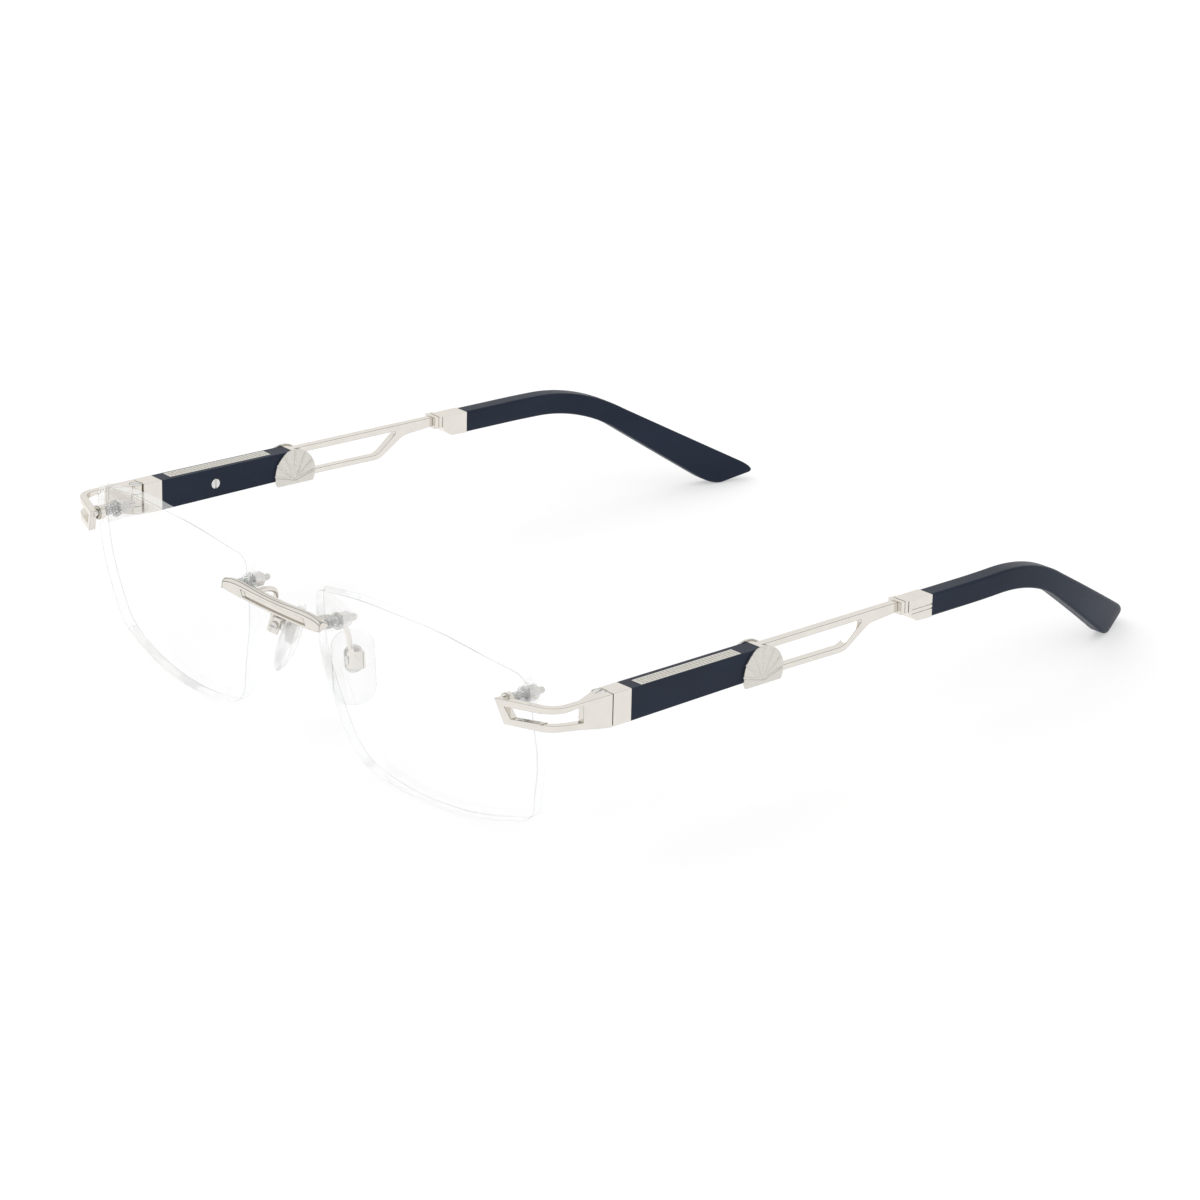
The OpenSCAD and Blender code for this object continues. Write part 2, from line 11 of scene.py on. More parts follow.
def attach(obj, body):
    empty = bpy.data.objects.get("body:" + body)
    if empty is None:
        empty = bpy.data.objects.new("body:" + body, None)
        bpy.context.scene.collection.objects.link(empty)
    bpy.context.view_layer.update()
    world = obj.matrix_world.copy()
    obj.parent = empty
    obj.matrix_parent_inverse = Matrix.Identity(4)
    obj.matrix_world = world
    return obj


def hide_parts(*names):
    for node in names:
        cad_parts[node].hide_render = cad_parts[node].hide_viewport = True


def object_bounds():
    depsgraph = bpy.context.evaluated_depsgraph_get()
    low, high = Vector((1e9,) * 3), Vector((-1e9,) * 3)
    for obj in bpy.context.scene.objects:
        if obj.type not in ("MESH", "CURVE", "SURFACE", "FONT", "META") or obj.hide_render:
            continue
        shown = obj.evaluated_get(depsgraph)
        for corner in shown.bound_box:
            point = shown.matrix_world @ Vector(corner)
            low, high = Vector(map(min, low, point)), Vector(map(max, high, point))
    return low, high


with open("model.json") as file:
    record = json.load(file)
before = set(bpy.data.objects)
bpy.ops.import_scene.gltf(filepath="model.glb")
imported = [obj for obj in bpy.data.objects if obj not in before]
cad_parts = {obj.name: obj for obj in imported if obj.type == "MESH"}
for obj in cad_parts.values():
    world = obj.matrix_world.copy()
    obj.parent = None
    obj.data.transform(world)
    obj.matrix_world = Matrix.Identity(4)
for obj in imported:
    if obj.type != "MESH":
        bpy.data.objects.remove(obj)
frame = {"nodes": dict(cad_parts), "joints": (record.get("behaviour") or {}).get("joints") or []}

CAD_BOX = [list(corner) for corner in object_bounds()]
MM = 0.001
SIDES = ("left", "right")

# The design was drawn level and then turned about X to stand on a surface, and the hinge joint
# holds both the turn and the place of the hinge pin.
HINGE = next(j for j in frame["joints"] if j["name"] == "left_temple_fold")
HINGE_POINT = Vector((67.6, 14.0, 25.5))
PITCH = math.atan2(HINGE["axis"][1], HINGE["axis"][2])
TILT = Matrix.Rotation(-PITCH, 4, "X") @ Matrix.Scale(MM, 4)
STAND = Matrix.Translation(Vector(HINGE["pos_m"]) - TILT @ HINGE_POINT) @ TILT
MIRROR = Matrix.Scale(-1, 4, (1, 0, 0))
TOE_IN = math.radians(1.5)


def turn(degrees, axis):
    return Matrix.Rotation(math.radians(degrees), 4, axis)


def side_place(side):
    """From the level design to the row frame, on one side."""
    return STAND if side == "left" else MIRROR @ STAND


def temple_place(side):
    """From a temple's own frame: u outwards, v along the temple, z up."""
    hinge = Matrix.Translation((HINGE_POINT.x, HINGE_POINT.y, 0))
    return side_place(side) @ hinge @ Matrix.Rotation(TOE_IN, 4, "Z")


# ---------------------------------------------------------------- materials

def new_material(name, **sockets):
    """A Principled material. Constant values are set on the shader's own sockets."""
    material = bpy.data.materials.new(name)
    material.use_nodes = True
    shader = material.node_tree.nodes["Principled BSDF"]
    for socket, value in sockets.items():
        shader.inputs[socket.replace("_", " ")].default_value = value
    return material


def noise(material, scale, detail=4.0, stretch=(1, 1, 1), roughness=0.55):
    """Noise in the object's own coordinates: scale is features per metre."""
    nodes, links = material.node_tree.nodes, material.node_tree.links
    coords = nodes.new("ShaderNodeTexCoord")
    mapping = nodes.new("ShaderNodeMapping")
    mapping.inputs["Scale"].default_value = stretch
    texture = nodes.new("ShaderNodeTexNoise")
    texture.inputs["Scale"].default_value = scale
    texture.inputs["Detail"].default_value = detail
    texture.inputs["Roughness"].default_value = roughness
    links.new(coords.outputs["Object"], mapping.inputs["Vector"])
    links.new(mapping.outputs["Vector"], texture.inputs["Vector"])
    return texture.outputs["Fac"]


# Most of a noise texture lies between these two values
NOISE_LOW, NOISE_HIGH = 0.3, 0.7


def vary_value(material, source, socket, low, high):
    """Spreads a noise over a shader value, from low to high."""
    nodes, links = material.node_tree.nodes, material.node_tree.links
    spread = nodes.new("ShaderNodeMapRange")
    spread.inputs["From Min"].default_value = NOISE_LOW
    spread.inputs["From Max"].default_value = NOISE_HIGH
    spread.inputs["To Min"].default_value = low
    spread.inputs["To Max"].default_value = high
    links.new(source, spread.inputs["Value"])
    links.new(spread.outputs["Result"], nodes["Principled BSDF"].inputs[socket])


def vary_colour(material, source, colours, places=(NOISE_LOW, NOISE_HIGH)):
    """Spreads a noise over two base colours."""
    nodes, links = material.node_tree.nodes, material.node_tree.links
    ramp = nodes.new("ShaderNodeValToRGB")
    for element, place, colour in zip(ramp.color_ramp.elements, places, colours):
        element.position = place
        element.color = (*colour, 1)
    links.new(source, ramp.inputs["Fac"])
    links.new(ramp.outputs["Color"], nodes["Principled BSDF"].inputs["Base Color"])


def bumps(material, layers):
    """Chains bump layers, each [source, strength, depth in metres]."""
    nodes, links = material.node_tree.nodes, material.node_tree.links
    previous = None
    for source, strength, depth in layers:
        bump = nodes.new("ShaderNodeBump")
        bump.inputs["Strength"].default_value = strength
        bump.inputs["Distance"].default_value = depth
        links.new(source, bump.inputs["Height"])
        if previous:
            links.new(previous, bump.inputs["Normal"])
        previous = bump.outputs["Normal"]
    links.new(previous, nodes["Principled BSDF"].inputs["Normal"])


def polished_silver():
    """Warm silver plating: soft cloudy polish, fine hairlines and a faint orange peel."""
    material = new_material("polished_silver", Metallic=1.0, Specular_Tint=(1, 0.98, 0.95, 1))
    cloud = noise(material, 350, 3)
    hair = noise(material, 2600, 3, (1, 0.06, 1))
    vary_colour(material, cloud, [(0.745, 0.712, 0.66), (0.785, 0.752, 0.70)])
    vary_value(material, hair, "Roughness", 0.10, 0.20)
    bumps(material, [(noise(material, 900, 2), 0.05, 0.00005), (hair, 0.05, 0.00001)])
    return material


def silver_edge_painted_reflection():
    """The narrow rounded edges of the plating, given a near-black colour: a painted dark reflection of a
    room that the white scene doesn't have.
    """
    material = new_material("silver_edge_painted_reflection", Metallic=1.0)
    hair = noise(material, 1400, 3, (1, 0.1, 1))
    vary_colour(material, hair, [(0.05, 0.047, 0.042), (0.20, 0.188, 0.17)])
    vary_value(material, noise(material, 2600, 2), "Roughness", 0.18, 0.30)
    bumps(material, [(hair, 0.05, 0.00001)])
    return material


def bright_steel():
    """Screws, nuts, washers and posts: turned steel with fine tool marks."""
    material = new_material("bright_steel", Metallic=1.0)
    marks = noise(material, 3500, 2, (1, 0.15, 1))
    vary_colour(material, noise(material, 800), [(0.66, 0.65, 0.63), (0.78, 0.765, 0.74)])
    vary_value(material, marks, "Roughness", 0.16, 0.30)
    bumps(material, [(marks, 0.15, 0.00001)])
    return material


def satin_silver():
    """Plaques and inlays: sandblasted silver, slightly darker where the grain is deep."""
    material = new_material("satin_silver", Metallic=1.0)
    grain = noise(material, 9000, 3)
    vary_colour(material, grain, [(0.58, 0.565, 0.52), (0.74, 0.72, 0.67)], (0.35, 0.62))
    vary_value(material, noise(material, 700), "Roughness", 0.24, 0.36)
    bumps(material, [(grain, 0.25, 0.00002)])
    return material


def navy_acetate():
    """Inserts and tips: satin dark blue acetate with faint flow clouds and polishing haze."""
    material = new_material("navy_acetate", IOR=1.49, Specular_IOR_Level=0.12)
    cloud = noise(material, 120, 5, (1, 0.35, 1))
    haze = noise(material, 4200, 3)
    vary_colour(material, cloud, [(0.0125, 0.0185, 0.0335), (0.0165, 0.0240, 0.0420)])
    vary_value(material, haze, "Roughness", 0.36, 0.46)
    bumps(material, [(haze, 0.10, 0.00001), (noise(material, 260, 2), 0.08, 0.00008)])
    return material


def lens_glass():
    """Coated clear lens: nearly invisible, with a thin cool reflection and a trace of dust haze."""
    material = new_material(
        "lens_glass", Base_Color=(0.985, 0.995, 0.99, 1), IOR=1.5, Transmission_Weight=1.0, Alpha=0.16,
        Thin_Film_Thickness=330.0, Thin_Film_IOR=1.38,
    )
    vary_value(material, noise(material, 90, 3), "Roughness", 0.0, 0.02)
    return material


def lens_rim():
    """Polished edge of a lens, a little frosted by the grinding wheel."""
    material = new_material(
        "lens_rim", Base_Color=(0.86, 0.89, 0.89, 1), IOR=1.5, Transmission_Weight=0.9, Alpha=0.26,
    )
    grind = noise(material, 9000, 3)
    vary_value(material, grind, "Roughness", 0.02, 0.10)
    bumps(material, [(grind, 0.03, 0.000005)])
    return material


def lens_corner_painted_reflection():
    """The two narrow polished corners of a lens, painted grey and partly see-through at random: a painted
    dark reflection of a room that the white scene doesn't have.
    """
    material = new_material("lens_corner_painted_reflection", Base_Color=(0.42, 0.44, 0.45, 1), IOR=1.5)
    vary_value(material, noise(material, 60, 3), "Alpha", 0.10, 0.55)
    vary_value(material, noise(material, 3000, 2), "Roughness", 0.05, 0.12)
    return material


def clear_silicone():
    """Nose pads: soft clear silicone with a milky cloud and a skin-soft surface."""
    material = new_material("clear_silicone", IOR=1.41, Transmission_Weight=0.92, Alpha=0.55)
    vary_colour(material, noise(material, 260, 3), [(0.86, 0.88, 0.87), (0.96, 0.97, 0.96)])
    skin = noise(material, 3000, 2)
    vary_value(material, skin, "Roughness", 0.12, 0.26)
    bumps(material, [(skin, 0.12, 0.00002)])
    return material


def clear_plastic():
    """Lens bushes: clear nylon."""
    material = new_material("clear_plastic", IOR=1.5, Transmission_Weight=0.8, Alpha=0.7)
    vary_colour(material, noise(material, 500, 2), [(0.80, 0.82, 0.82), (0.90, 0.91, 0.90)])
    vary_value(material, noise(material, 2500, 2), "Roughness", 0.15, 0.3)
    return material


SILVER = polished_silver()
# near-black painted reflection for the rounded edges of the silver pieces
EDGE_PAINTED_REFLECTION = silver_edge_painted_reflection()
STEEL = bright_steel()
SATIN = satin_silver()
NAVY = navy_acetate()
GLASS = lens_glass()
RIM = lens_rim()
# grey painted reflection for the chamfers of the lenses
CORNER_PAINTED_REFLECTION = lens_corner_painted_reflection()
SILICONE = clear_silicone()
PLASTIC = clear_plastic()


# ---------------------------------------------------------------- mesh helpers

SAME_POINT = 1e-6  # metres


def set_materials(obj, *materials):
    """Gives an object its materials. On a new mesh the faces keep the material index they have."""
    if obj.data.materials:
        obj.data.materials.clear()
    for material in materials:
        obj.data.materials.append(material)


def shade(obj, degrees):
    """Smooth shading with sharp edges above an angle, and flat faces kept flat."""
    obj.data.shade_smooth()
    obj.data.set_sharp_from_angle(angle=math.radians(degrees))
    weights = obj.modifiers.new("even_normals", "WEIGHTED_NORMAL")
    weights.keep_sharp = True


def merge_points(build):
    bmesh.ops.remove_doubles(build, verts=build.verts, dist=SAME_POINT)


def link_mesh(name, build, sharp=40):
    """A new object from a bmesh, with its normals pointing outwards."""
    bmesh.ops.remove_doubles(build, verts=build.verts, dist=SAME_POINT / 2)
    bmesh.ops.recalc_face_normals(build, faces=build.faces)
    mesh = bpy.data.meshes.new(name)
    build.to_mesh(mesh)
    build.free()
    obj = bpy.data.objects.new(name, mesh)
    bpy.context.scene.collection.objects.link(obj)
    shade(obj, sharp)
    return obj


def round_edges(build, width, segments=2, above=25):
    """Rounds the edges sharper than an angle. The new faces take the object's second material, which on
    silver pieces is a painted dark reflection.
    """
    for face in build.faces:
        face.material_index = 0
    inner = [edge for edge in build.edges if len(edge.link_faces) == 2]
    sharp = [edge for edge in inner if edge.calc_face_angle(0) > math.radians(above)]
    bmesh.ops.bevel(
        build, geom=sharp, offset=width * MM, segments=segments, profile=0.5,
        affect="EDGES", clamp_overlap=True, material=1,
    )


def sweep(build, rings):
    """Skins a list of equal rings of points and caps both ends."""
    rows = [[build.verts.new(p) for p in ring] for ring in rings]
    count = len(rows[0])
    for a, b in zip(rows, rows[1:]):
        for j in range(count):
            k = (j + 1) % count
            build.faces.new((a[j], a[k], b[k], b[j]))
    build.faces.new(rows[0])
    build.faces.new(rows[-1])


def rounded(corners, step_degrees=7.0):
    """Closed outline from corners (a, b, radius), each rounded by an arc of at least three steps."""
    points = []
    for i, (qa, qb, radius) in enumerate(corners):
        q = Vector((qa, qb))
        to_p = (Vector(corners[i - 1][:2]) - q).normalized()
        to_s = (Vector(corners[(i + 1) % len(corners)][:2]) - q).normalized()
        half = to_p.angle(to_s) / 2
        centre = q + (to_p + to_s).normalized() * radius / math.sin(half)
        start = q + to_p * radius / math.tan(half) - centre
        end = q + to_s * radius / math.tan(half) - centre
        arc = math.atan2(start.x * end.y - start.y * end.x, start.dot(end))
        steps = max(3, round(abs(math.degrees(arc)) / step_degrees))
        for k in range(steps + 1):
            points.append(centre + Matrix.Rotation(arc * k / steps, 2) @ start)
    return points


def evenly(points, step):
    """Splits the long sides of a closed outline into parts of about step."""
    result = []
    for i, a in enumerate(points):
        b = points[(i + 1) % len(points)]
        parts = max(1, round((b - a).length / step))
        result += [a.lerp(b, k / parts) for k in range(parts)]
    return result


def finish_piece(obj, body, node):
    """Attaches a piece to its body and hides the CAD node it stands for."""
    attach(obj, body)
    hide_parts(node)


# ---------------------------------------------------------------- refined CAD parts

FLAT = 0.6  # degrees between faces that count as one flat face


def refined(node, body, material, width, segments=2):
    """A copy of a CAD node whose flat faces are merged and whose edges are rounded."""
    build = bmesh.new()
    build.from_mesh(frame["nodes"][node].data)
    merge_points(build)
    bmesh.ops.dissolve_limit(
        build, angle_limit=math.radians(FLAT), verts=build.verts, edges=build.edges, delimit={"NORMAL"}
    )
    round_edges(build, width, segments)
    obj = link_mesh(node + "_finish", build, 35)
    # silver pieces give their rounded edges the near-black painted reflection
    set_materials(obj, material, EDGE_PAINTED_REFLECTION if material is SILVER else material)
    finish_piece(obj, body, node)


def refine_hardware():
    """The last numbers are the width of the rounding in millimetres and its number of steps."""
    for side in SIDES:
        temple = side + "_temple"
        refined(side + "_endpiece", "front", SILVER, 0.28, 3)
        refined(side + "_hinge_cap", temple, SILVER, 0.16, 3)
        refined(side + "_temple_bar", temple, SILVER, 0.24, 3)
        refined(side + "_ferrule", temple, SILVER, 0.12, 3)
        refined(side + "_insert", temple, NAVY, 0.14, 3)
        refined(side + "_inlay", temple, SATIN, 0.04)
        refined(side + "_outer_plaque", temple, SATIN, 0.05)
        refined(side + "_inner_plaque", temple, SATIN, 0.05)
        refined(side + "_insert_screw", temple, STEEL, 0.05)
        refined(side + "_hinge_screw", "front", STEEL, 0.05)
        refined(side + "_pad_screw", "front", STEEL, 0.05)
        refined(side + "_pad_core", side + "_pad", STEEL, 0.10)
        set_materials(frame["nodes"][side + "_tip_core"], STEEL)
    refined("lens_spacers", "front", SILVER, 0.08)
    refined("lens_washers", "front", STEEL, 0.05)
    refined("lens_nuts", "front", STEEL, 0.14, 3)
    refined("lens_bushes", "front", PLASTIC, 0.05)


# ---------------------------------------------------------------- lenses

LENS_W, LENS_H, LENS_T, LENS_R = 54.0, 37.0, 2.0, 132.0
LENS_CENTRE = Vector((37.1, -1.2, 17.8))
LENS_WRAP, LENS_LEAN = 4.9, 9.0  # degrees
# (share of the width from the nose, share of the height, radius)
LENS_CORNERS = [
    (0.000, 0.920, 2.5), (0.002, 0.589, 25), (0.126, 0.065, 9), (0.387, 0.003, 60), (0.665, 0.020, 60),
    (0.943, 0.116, 5), (1.004, 0.454, 25), (0.991, 0.880, 4.5), (0.628, 1.000, 60), (0.257, 0.995, 60),
]
POST_Z = 27.8
POST_X = (12.8, 59.9)
HOLE_R = 1.0
DRILL_L = 18.0
LENS_CHAMFER = 0.14
LENS_SHARES = [0.03, 0.12, 0.25, 0.4, 0.55, 0.7, 0.82, 0.91, 0.97]
FACE_FACING, CORNER_FACING = 0.9, 0.5  # how squarely a lens's faces and its corners face the front


def lens_depth(x, z, radius):
    """How far a spherical face lies behind the front pole."""
    return LENS_R - math.sqrt(radius ** 2 - x ** 2 - z ** 2)


def lens_rings(outline):
    """Rings from the middle of the front, round the edge, to the middle of the back."""
    back_r = LENS_R - LENS_T
    inset = [p * (1 - LENS_CHAMFER / p.length) for p in outline]

    def ring(points, radius, behind=0.0):
        return [Vector((p.x, lens_depth(p.x, p.y, radius) + behind, p.y)) for p in points]

    front = [ring([p * share for p in outline], LENS_R) for share in LENS_SHARES]
    edge = [
        ring(inset, LENS_R), ring(outline, LENS_R, LENS_CHAMFER),
        ring(outline, back_r, -LENS_CHAMFER), ring(inset, back_r),
    ]
    back = [ring([p * share for p in outline], back_r) for share in reversed(LENS_SHARES)]
    return front + edge + back


def drill(obj, side):
    """Cuts the two post holes through a lens."""
    cutter_mesh = bmesh.new()
    for x in POST_X:
        place = side_place(side) @ Matrix.Translation((x, 1, POST_Z)) @ turn(90, "X")
        bmesh.ops.create_cone(
            cutter_mesh, cap_ends=True, segments=40, radius1=HOLE_R, radius2=HOLE_R, depth=DRILL_L,
            matrix=place,
        )
    cutter = link_mesh("lens_drill", cutter_mesh)
    cut = obj.modifiers.new("holes", "BOOLEAN")
    cut.object = cutter
    cut.operation = "DIFFERENCE"
    cut.solver = "EXACT"
    bpy.context.view_layer.update()
    drilled = bpy.data.meshes.new_from_object(obj.evaluated_get(bpy.context.evaluated_depsgraph_get()))
    obj.modifiers.clear()
    obj.data = drilled
    bpy.data.objects.remove(cutter)


def make_lens(side):
    corners = [((a - 0.5) * LENS_W, (b - 0.5) * LENS_H, r) for a, b, r in LENS_CORNERS]
    outline = evenly(rounded(corners, 4.0), 1.2)
    local = side_place(side) @ Matrix.Translation(LENS_CENTRE) @ turn(LENS_WRAP, "Z") @ turn(LENS_LEAN, "X")
    build = bmesh.new()
    sweep(build, [[local @ p for p in ring] for ring in lens_rings(outline)])
    obj = link_mesh(side + "_clear_lens", build, 40)
    obj.modifiers.clear()
    drill(obj, side)
    set_materials(obj, GLASS, RIM, CORNER_PAINTED_REFLECTION)
    axis = (local.to_3x3() @ Vector((0, 1, 0))).normalized()
    for face in obj.data.polygons:
        facing = abs(face.normal.dot(axis))
        # faces that half face the front are the chamfers and take the grey painted reflection
        face.material_index = 0 if facing > FACE_FACING else 2 if facing > CORNER_FACING else 1
    shade(obj, 40)
    finish_piece(obj, "front", side + "_lens")


# ---------------------------------------------------------------- bridge

BRIDGE_HALF = 14.3
BRIDGE_STEPS = 48
PANEL_END, PANEL_FADE = 0.42, 0.06  # in squares of the share of the half length
PANEL_DEPTH = 0.32
PANEL_LOW, PANEL_HIGH, PANEL_SLOPE = 0.24, 0.72, 0.04  # shares of the front's height


def bridge_ring(x):
    """One section of the bridge at x, with a shallow panel sunk in its front. Its bow, its height
    and its ridge are short polynomials in q, which grows from 0 in the middle to 1 at the ends."""
    q = (x / BRIDGE_HALF) ** 2
    top = 29.05 + 0.4 * q - 0.85 * q ** 3
    low = 25.4 + 1.5 * q + 0.3 * q * q
    front_top = -4.7 + 0.6 * q - 0.35 * q ** 3
    front_low = -2.7 - 1.9 * q
    ridge = 0.35 + 0.9 * q * (1 - q)
    back = -2.55
    fade = min(1.0, max(0.0, (PANEL_END - q) / PANEL_FADE))
    cut = PANEL_DEPTH * fade * fade * (3 - 2 * fade)
    rise = top - low

    def front(share, sunk):
        return x, front_low + share * (front_top - front_low) + sunk, low + share * rise

    return [
        (x, front_top, top - 0.15), (x, front_top + 0.35, top + ridge - 0.1),
        (x, front_top + 0.8, top + ridge), (x, back, top - 0.1), (x, back, low + 0.45 * rise),
        (x, front_low + 1.1 - 0.5 * q, low + 0.25), (x, front_low + 0.4, low), (x, front_low, low + 0.15),
        front(PANEL_LOW, 0), front(PANEL_LOW + PANEL_SLOPE, cut),
        front(PANEL_HIGH - PANEL_SLOPE, cut), front(PANEL_HIGH, 0),
    ]


def make_bridge():
    build = bmesh.new()
    xs = [BRIDGE_HALF * i / BRIDGE_STEPS for i in range(-BRIDGE_STEPS, BRIDGE_STEPS + 1)]
    sweep(build, [[STAND @ Vector(p) for p in bridge_ring(x)] for x in xs])
    merge_points(build)
    round_edges(build, 0.16, 3, 22)
    obj = link_mesh("bridge_bar", build, 40)
    # the rounded edges of the bridge take the near-black painted reflection
    set_materials(obj, SILVER, EDGE_PAINTED_REFLECTION)
    finish_piece(obj, "front", "bridge")


# ---------------------------------------------------------------- lens posts

POST_R = 0.65
THREAD_PITCH = 0.35
THREAD_DEPTH = 0.07
POST_CHAMFER = 0.15
POSTS = ((POST_X[0], -3.2, 4.75, -1.0), (POST_X[1], -0.9, 8.25, 1.4))  # x, start, end, start of the thread
POST_SIDES, POST_STEP = 24, 0.07


def post_radius(y, angle, end, thread_from):
    """Radius of a threaded post: plain at the front, threaded behind, chamfered at the end."""
    if y > end - POST_CHAMFER:
        return POST_R - POST_CHAMFER
    if y < thread_from:
        return POST_R
    phase = (y / THREAD_PITCH + angle / math.tau) % 1.0
    return POST_R - THREAD_DEPTH * (1 - abs(2 * phase - 1)) * 2


def post_ring(place, x, y, end, thread_from):
    ring = []
    for j in range(POST_SIDES):
        a = math.tau * j / POST_SIDES
        r = post_radius(y, a, end, thread_from)
        ring.append(place @ Vector((x + r * math.cos(a), y, POST_Z + r * math.sin(a))))
    return ring


def make_posts():
    build = bmesh.new()
    for side in SIDES:
        for x, start, end, thread_from in POSTS:
            count = round((end - start) / POST_STEP)
            ys = [start + (end - start) * i / count for i in range(count + 1)]
            sweep(build, [post_ring(side_place(side), x, y, end, thread_from) for y in ys])
    obj = link_mesh("threaded_posts", build, 50)
    set_materials(obj, STEEL)
    finish_piece(obj, "front", "lens_posts")


# ---------------------------------------------------------------- nose pads and their arms

PAD_CENTRE = Vector((9.4, 6.9, 16.6))
PAD_SPLAY, PAD_FRONTAL = 27.0, 16.0
PAD_W, PAD_L, PAD_T, PAD_FACE_R = 8.0, 13.5, 2.4, 24.0
PAD_PIVOT = Vector((3.0, 0, 1.6))
PAD_SHARES = [0.03, 0.15, 0.3, 0.45, 0.6, 0.72, 0.82, 0.89, 0.94, 0.97, 0.99, 0.998]
RIM_POWER = 7  # the rim of a pad is rounder with a lower power
ARM_R = 0.5
ARM_ROUTE = [
    (9.0, -2.6, 27.3), (9.0, 1.2, 27.3), (9.5, 3.6, 26.3), (10.5, 4.6, 24.2), (11.4, 4.6, 21.6),
    (11.7, 4.9, 20.0),
]
BOX_DEPTH, BOX_WIDTH, BOX_HEIGHT = 2.4, 3.0, 3.0
BOX_WALL = 0.45


def pad_place(side):
    """From a pad's own frame, with its contact face towards -X, to the row frame."""
    centre = side_place(side) @ Matrix.Translation(PAD_CENTRE)
    return centre @ turn(-PAD_SPLAY, "Z") @ turn(-PAD_FRONTAL, "Y")


def spline(points, parts):
    """Points of a smooth curve through the given points."""
    knots = [Vector(p) for p in points]
    knots = [2 * knots[0] - knots[1]] + knots + [2 * knots[-1] - knots[-2]]
    result = []
    for a, b, c, d in zip(knots, knots[1:], knots[2:], knots[3:]):
        for k in range(parts):
            t = k / parts
            square, cube = 2 * a - 5 * b + 4 * c - d, 3 * b - a - 3 * c + d
            result.append(0.5 * (2 * b + (c - a) * t + square * t ** 2 + cube * t ** 3))
    return result + [knots[-2]]


def tube_rings(points, radius, around=20):
    """Round sections along a curve, without twist."""
    rings, normal = [], Vector((1, 0, 0))
    for i, p in enumerate(points):
        along = (points[min(i + 1, len(points) - 1)] - points[max(i - 1, 0)]).normalized()
        normal = (normal - along * normal.dot(along)).normalized()
        side = along.cross(normal)
        angles = [math.tau * j / around for j in range(around)]
        rings.append([p + radius * (math.cos(a) * normal + math.sin(a) * side) for a in angles])
    return rings


def box_outline():
    """U-shaped section of the pad box, open towards the pad, in the pivot's x and y."""
    x0, x1 = -1.0, BOX_DEPTH - 1.0
    outer, inner = BOX_WIDTH / 2, BOX_WIDTH / 2 - BOX_WALL
    corners = [
        (x0, -outer, 0.12), (x1, -outer, 0.7), (x1, outer, 0.7), (x0, outer, 0.12),
        (x0, inner, 0.08), (x1 - BOX_WALL, inner, 0.3), (x1 - BOX_WALL, -inner, 0.3), (x0, -inner, 0.08),
    ]
    return rounded(corners, 15)


def make_pad_box(side):
    """Mesh of the box, an extrusion of its section along the pivot's z."""
    box = bmesh.new()
    place = pad_place(side) @ Matrix.Translation(PAD_PIVOT)
    heights = (-BOX_HEIGHT / 2, BOX_HEIGHT / 2)
    sweep(box, [[place @ Vector((p.x, p.y, z)) for p in box_outline()] for z in heights])
    round_edges(box, 0.1, 2, 50)
    mesh = bpy.data.meshes.new("pad_box")
    box.to_mesh(mesh)
    box.free()
    return mesh


def make_pad_arm(side):
    build = bmesh.new()
    place = side_place(side)
    sweep(build, [[place @ p for p in ring] for ring in tube_rings(spline(ARM_ROUTE, 8), ARM_R)])
    box = make_pad_box(side)
    build.from_mesh(box)
    bpy.data.meshes.remove(box)
    obj = link_mesh(side + "_pad_wire", build, 40)
    set_materials(obj, SILVER)
    finish_piece(obj, "front", side + "_pad_arm")


def make_nose_pad(side):
    """A crowned silicone drop with a soft round rim."""
    w, l = PAD_W / 2, PAD_L / 2
    low_r, high_r = 0.46 * PAD_W, 0.40 * PAD_W
    outline = evenly(rounded([(-w, -l, low_r), (w, -l, low_r), (w, l, high_r), (-w, l, high_r)]), 0.7)
    place = pad_place(side)

    def ring(share, sign):
        points = []
        for p in outline:
            y, z = p.x * share, p.y * share
            half = PAD_T / 2 - PAD_FACE_R + math.sqrt(PAD_FACE_R ** 2 - y ** 2 - z ** 2)
            points.append(place @ Vector((sign * half * (1 - share ** RIM_POWER) ** 0.5, y, z)))
        return points

    front = [ring(share, -1) for share in PAD_SHARES]
    back = [ring(share, 1) for share in reversed(PAD_SHARES)]
    build = bmesh.new()
    sweep(build, front + [ring(1.0, 0)] + back)
    obj = link_mesh(side + "_silicone_pad", build, 60)
    set_materials(obj, SILICONE)
    finish_piece(obj, side + "_pad", side + "_nose_pad")


# ---------------------------------------------------------------- tips

# u is sideways, v along the temple and z up, all in the temple's own frame
MID_U = 0.63
TIP_T, TIP_V, TIP_TOP, TIP_LOW = 3.5, 78.2, 28.5, 24.2
HALF_H = (TIP_TOP - TIP_LOW) / 2
BEND_V, BEND_R, BEND_ANGLE = 96.5, 36.0, math.radians(31.3)
END_TOP, END_BOTTOM = Vector((145.7, 6.6)), Vector((136.7, 3.7))
STRAIGHT_SHARE, BEND_SHARE = 0.28, 0.34
CURVE_V, CURVE_K = 88.0, 0.00375  # the tip curves inwards from here on
TIP_CORNER = 0.5
CLOSE_FROM, TIP_CLOSE = 0.95, 0.62  # where the end starts to close, and its last section's size
TIP_RINGS, CLOSE_RINGS = 110, 8
BEND_CENTRE = Vector((BEND_V, (TIP_TOP + TIP_LOW) / 2 - BEND_R))


def on_bend(radius, share):
    angle = share * BEND_ANGLE
    return BEND_CENTRE + radius * Vector((math.sin(angle), math.cos(angle)))


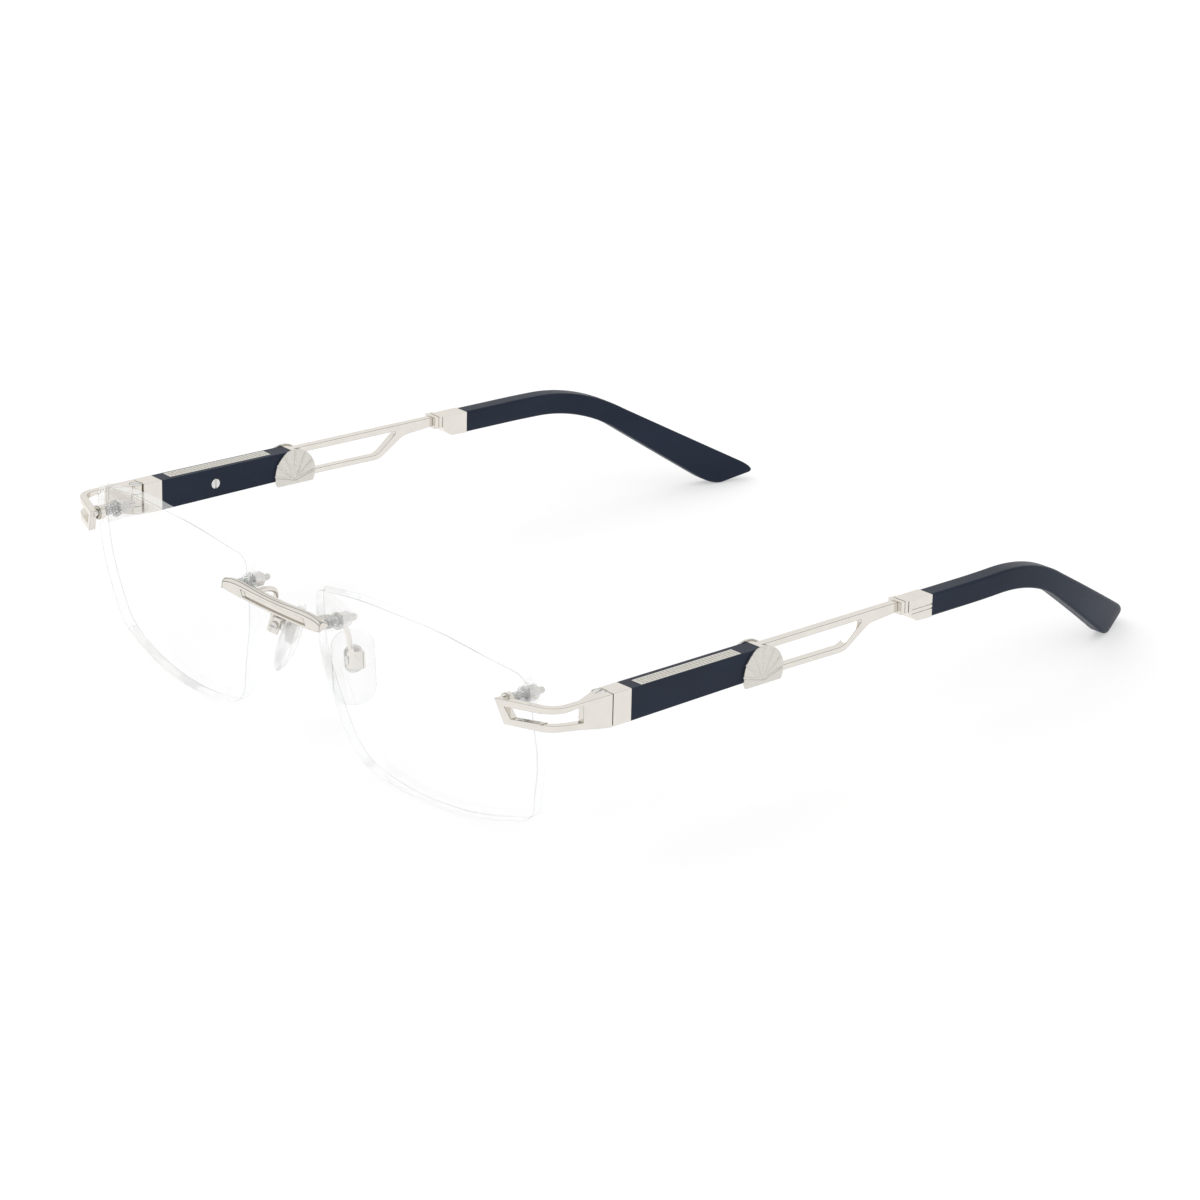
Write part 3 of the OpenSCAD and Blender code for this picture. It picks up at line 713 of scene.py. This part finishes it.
def edge_at(s, radius, z, corner):
    """Upper or lower edge of the tip at fraction s: straight, bend, then straight to its end corner."""
    straight, bend = s / STRAIGHT_SHARE, (s - STRAIGHT_SHARE) / BEND_SHARE
    if straight < 1:
        return Vector((TIP_V + straight * (BEND_V - TIP_V), z))
    if bend < 1:
        return on_bend(radius, bend)
    last = (s - STRAIGHT_SHARE - BEND_SHARE) / (1 - STRAIGHT_SHARE - BEND_SHARE)
    return on_bend(radius, 1).lerp(corner, last)


def tip_section():
    """Rounded rectangle across the tip, as shares of its half thickness and half height."""
    t, h = TIP_T / 2, HALF_H
    corners = [(-t, -h, TIP_CORNER), (t, -h, TIP_CORNER), (t, h, TIP_CORNER), (-t, h, TIP_CORNER)]
    return [(p.x / t, p.y / h) for p in evenly(rounded(corners, 15), 1.0)]


def tip_ring(s, section):
    """The section at fraction s along the tip. The end rests on the floor, so it goes no lower."""
    hi = edge_at(s, BEND_R + HALF_H, TIP_TOP, END_TOP)
    lo = edge_at(s, BEND_R - HALF_H, TIP_LOW, END_BOTTOM)
    closing = 1.0
    if s > CLOSE_FROM:
        u = (s - CLOSE_FROM) / (1 - CLOSE_FROM)
        closing = 1 - (1 - TIP_CLOSE) * (1 - math.sqrt(max(0.0, 1 - u * u)))
    middle, half = (hi + lo) / 2, (hi - lo) / 2
    ring = []
    for side_share, up_share in section:
        v, z = middle + half * closing * up_share
        u_mid = MID_U - CURVE_K * max(0.0, v - CURVE_V) ** 2
        floor = (HINGE_POINT.y + v * math.cos(TOE_IN)) * math.tan(PITCH)
        ring.append(Vector((u_mid + TIP_T / 2 * closing * side_share, v, max(z, floor))))
    return ring


def make_tip(side):
    section = tip_section()
    place = temple_place(side)
    fractions = [CLOSE_FROM * i / TIP_RINGS for i in range(TIP_RINGS)]
    for k in range(CLOSE_RINGS + 1):
        fractions.append(CLOSE_FROM + (1 - CLOSE_FROM) * math.sin(math.pi / 2 * k / CLOSE_RINGS))
    build = bmesh.new()
    sweep(build, [[place @ p for p in tip_ring(s, section)] for s in fractions])
    obj = link_mesh(side + "_tip_sleeve", build, 50)
    set_materials(obj, NAVY)
    finish_piece(obj, side + "_temple", side + "_tip")


# ---------------------------------------------------------------- stage, light and camera

FLOOR_SIZE = 8.0
CARD_PLACE, CARD_HEADING, CARD_SIZE = Vector((0.04, 0.05, 0.9)), 60, (2.1, 0.7)
LAMP_DIRECTION, LAMP_DISTANCE, LAMP_SIZE, LAMP_POWER = Vector((-0.45, -0.35, 0.85)), 1.3, 0.8, 1.6
SKY_STRENGTH = 0.96


def plane(name, width, depth, material, matrix):
    build = bmesh.new()
    shape = matrix @ Matrix.Diagonal((width, depth, 1, 1))
    bmesh.ops.create_grid(build, x_segments=1, y_segments=1, size=0.5, matrix=shape)
    obj = link_mesh(name, build)
    obj.modifiers.clear()
    set_materials(obj, material)
    return obj


def look_along(place, target):
    """Matrix at place whose -Z looks at target."""
    turned = (target - place).to_track_quat("-Z", "Y").to_matrix().to_4x4()
    return Matrix.Translation(place) @ turned


def make_floor(centre):
    """White paper that glows a little, so that the shadows on it stay faint."""
    paint = new_material(
        "floor_paint", Base_Color=(0.60, 0.60, 0.60, 1), Roughness=0.85, Specular_IOR_Level=0.1,
        Emission_Color=(1, 1, 1, 1), Emission_Strength=0.42,
    )
    plane("floor", FLOOR_SIZE, FLOOR_SIZE, paint, Matrix.Translation((centre.x, centre.y, 0)))


def make_card():
    """A grey card overhead that only reflections see. It gives the tops of the metal some tone."""
    paint = new_material("card_paint", Base_Color=(0.60, 0.60, 0.61, 1), Roughness=1.0)
    card = plane("grey_card", *CARD_SIZE, paint, Matrix.Translation(CARD_PLACE) @ turn(CARD_HEADING, "Z"))
    card.visible_camera = False
    card.visible_diffuse = False
    card.visible_shadow = False
    card.visible_transmission = False


def make_lamp(centre):
    lamp = bpy.data.lights.new("key", "AREA")
    lamp.shape = "DISK"
    lamp.size = LAMP_SIZE
    lamp.energy = LAMP_POWER
    obj = bpy.data.objects.new("key", lamp)
    obj.matrix_world = look_along(centre + LAMP_DIRECTION.normalized() * LAMP_DISTANCE, centre)
    bpy.context.scene.collection.objects.link(obj)


def make_world():
    world = bpy.data.worlds.new("studio")
    world.use_nodes = True
    world.node_tree.nodes["Background"].inputs["Color"].default_value = (1, 1, 1, 1)
    world.node_tree.nodes["Background"].inputs["Strength"].default_value = SKY_STRENGTH
    bpy.context.scene.world = world


AZIMUTH, ELEVATION, DISTANCE = math.radians(49.5), math.radians(21.29), 0.825
AIM_SHARE = Vector((0.6067, 0.3939, 0.4795))  # of the CAD model's box
FOCAL_LENGTH, SENSOR_WIDTH = 135, 36


def make_camera(low, high):
    aim = Vector([a + (b - a) * share for a, b, share in zip(low, high, AIM_SHARE)])
    flat = math.cos(ELEVATION)
    outward = Vector((math.sin(AZIMUTH) * flat, -math.cos(AZIMUTH) * flat, math.sin(ELEVATION)))
    camera = bpy.data.cameras.new("camera")
    camera.lens = FOCAL_LENGTH
    camera.sensor_width = SENSOR_WIDTH
    camera.clip_start = 0.01
    obj = bpy.data.objects.new("camera", camera)
    obj.matrix_world = look_along(aim + outward * DISTANCE, aim)
    bpy.context.scene.collection.objects.link(obj)
    bpy.context.scene.camera = obj


def main():
    low, high = (Vector(c) for c in CAD_BOX)
    refine_hardware()
    for side in SIDES:
        make_lens(side)
        make_pad_arm(side)
        make_nose_pad(side)
        make_tip(side)
    make_bridge()
    make_posts()
    centre = (low + high) / 2
    make_floor(centre)
    make_card()
    make_world()
    make_lamp(centre)
    make_camera(low, high)
    bpy.context.scene.view_settings.view_transform = "Standard"


main()
